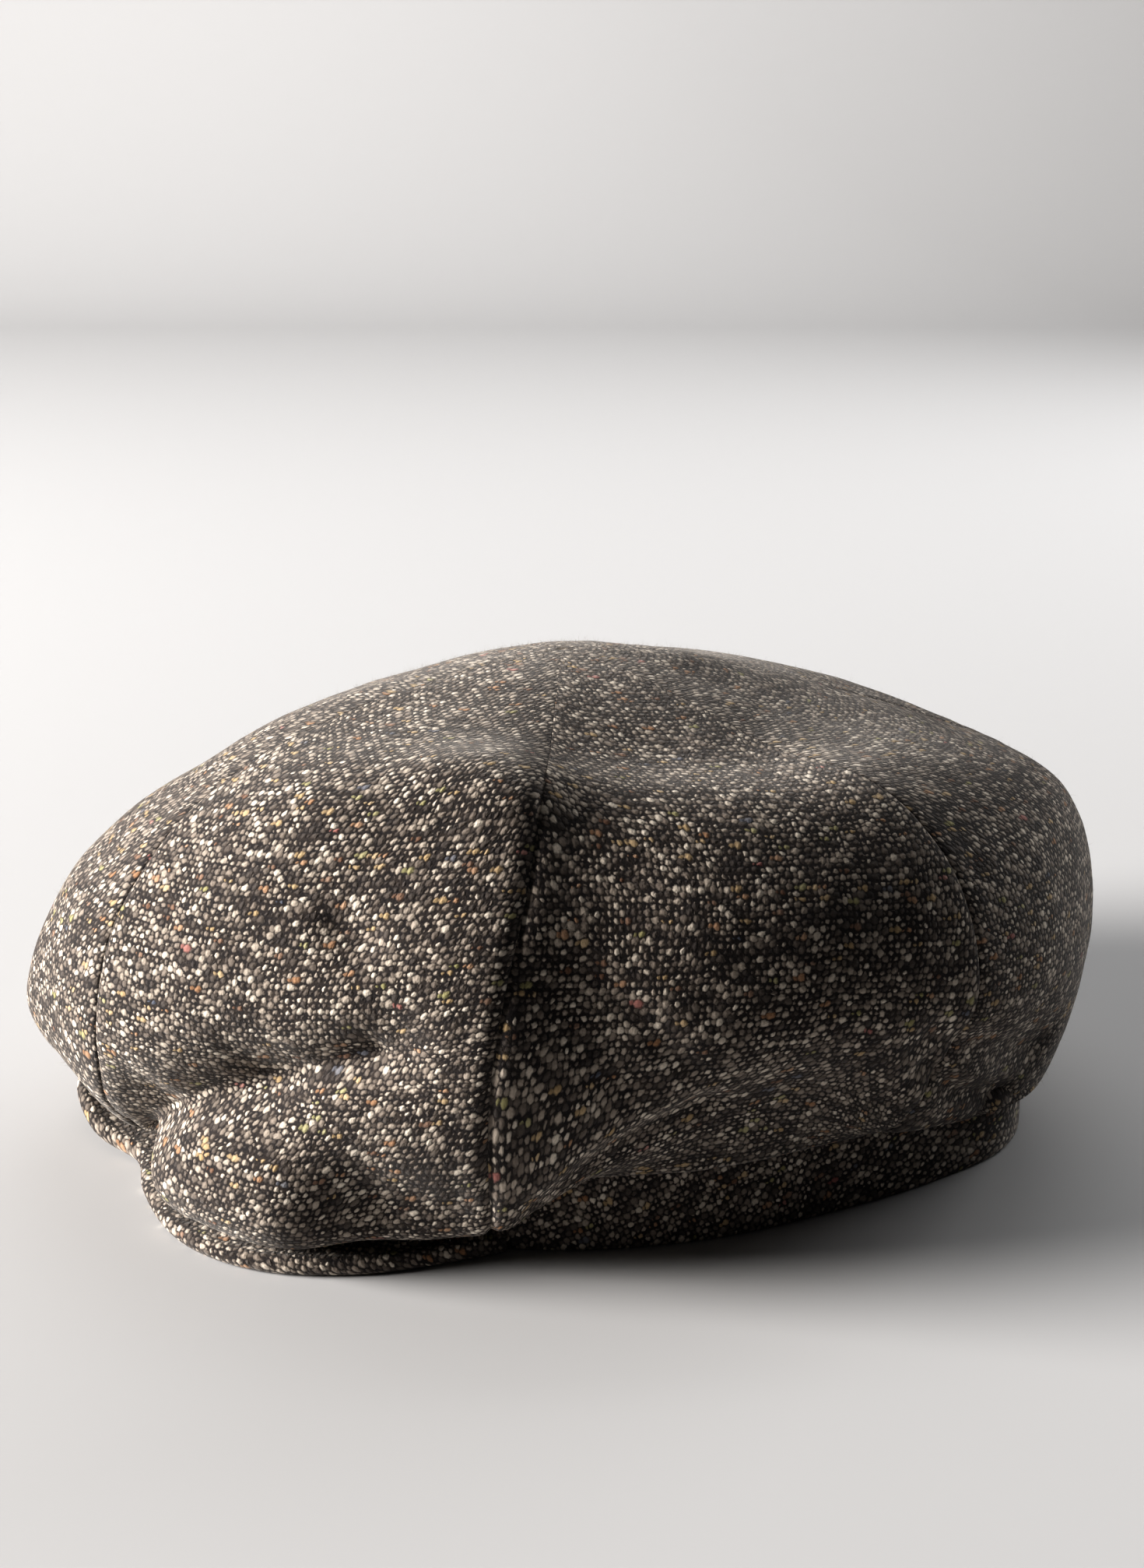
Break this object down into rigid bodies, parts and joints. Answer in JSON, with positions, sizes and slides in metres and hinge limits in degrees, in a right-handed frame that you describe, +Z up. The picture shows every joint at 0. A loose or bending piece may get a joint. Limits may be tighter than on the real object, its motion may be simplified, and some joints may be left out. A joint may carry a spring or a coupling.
{
  "type": "newsboy cap",
  "caption": "Soft tweed newsboy cap: a slouching panelled crown over a plain band, with a short tweed-covered peak, open below for the head.",
  "frame": {"origin": "middle of the cap's box, on the table that it rests on", "axes": "+Z up through the crown, front and peak toward -Y, the wearer's left toward +X"},
  "size_m": [0.221, 0.2768, 0.1249],
  "materials": {
    "crown_tweed": "coarse flecked wool tweed, matt, slightly fuzzy",
    "band_tweed": "the same tweed, in the crown's shade",
    "peak_tweed": "the same tweed over a stiff board"
  },
  "bodies": {
    "root": {"crown_panel_left_front": "crown_tweed", "crown_panel_left_side": "crown_tweed", "crown_panel_left_back": "crown_tweed", "crown_panel_right_back": "crown_tweed", "crown_panel_right_side": "crown_tweed", "crown_panel_right_front": "crown_tweed", "head_band": "band_tweed", "peak": "peak_tweed"}
  },
  "joints": []
}
